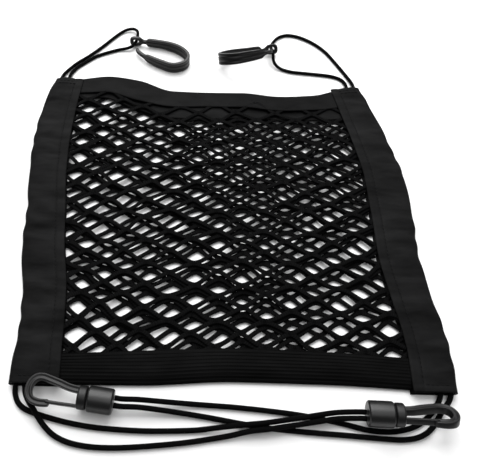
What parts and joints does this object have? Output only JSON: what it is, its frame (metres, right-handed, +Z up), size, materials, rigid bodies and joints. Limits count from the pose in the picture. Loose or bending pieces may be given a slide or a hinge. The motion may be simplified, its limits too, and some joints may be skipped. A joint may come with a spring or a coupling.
{
  "type": "seat back mesh pocket",
  "caption": "Flat net storage pocket with elastic mouth and bottom bands, woven side bands and elastic corner cords ending in plastic hooks.",
  "frame": {"origin": "middle of the panel's underside, where it lies on the surface; the cords and hooks are left out of it", "axes": "+Z up from the surface, +Y towards the pocket's mouth and its two top hooks, +X to the right as seen from above"},
  "size_m": [0.318, 0.396, 0.0257],
  "materials": {
    "net": "matt knotless knitted net",
    "woven_band": "matt plain weave",
    "elastic_band": "matt ribbed elastic webbing",
    "elastic_cord": "matt braided sheath",
    "moulded_plastic": "satin moulded"
  },
  "bodies": {
    "root": {"back_net": "net", "middle_net": "net", "front_net": "net", "back_top_band": "elastic_band", "middle_top_band": "elastic_band", "front_top_band": "elastic_band", "bottom_band": "elastic_band", "left_side_band": "woven_band", "right_side_band": "woven_band", "top_left_cord": "elastic_cord", "top_right_cord": "elastic_cord", "bottom_left_cord_a": "elastic_cord", "bottom_left_cord_b": "elastic_cord", "bottom_right_cord_a": "elastic_cord", "bottom_right_cord_b": "elastic_cord", "top_left_hook": "moulded_plastic", "top_right_hook": "moulded_plastic", "bottom_left_hook": "moulded_plastic", "bottom_right_hook": "moulded_plastic", "bottom_left_barrel": "moulded_plastic", "bottom_right_barrel": "moulded_plastic"}
  },
  "joints": []
}
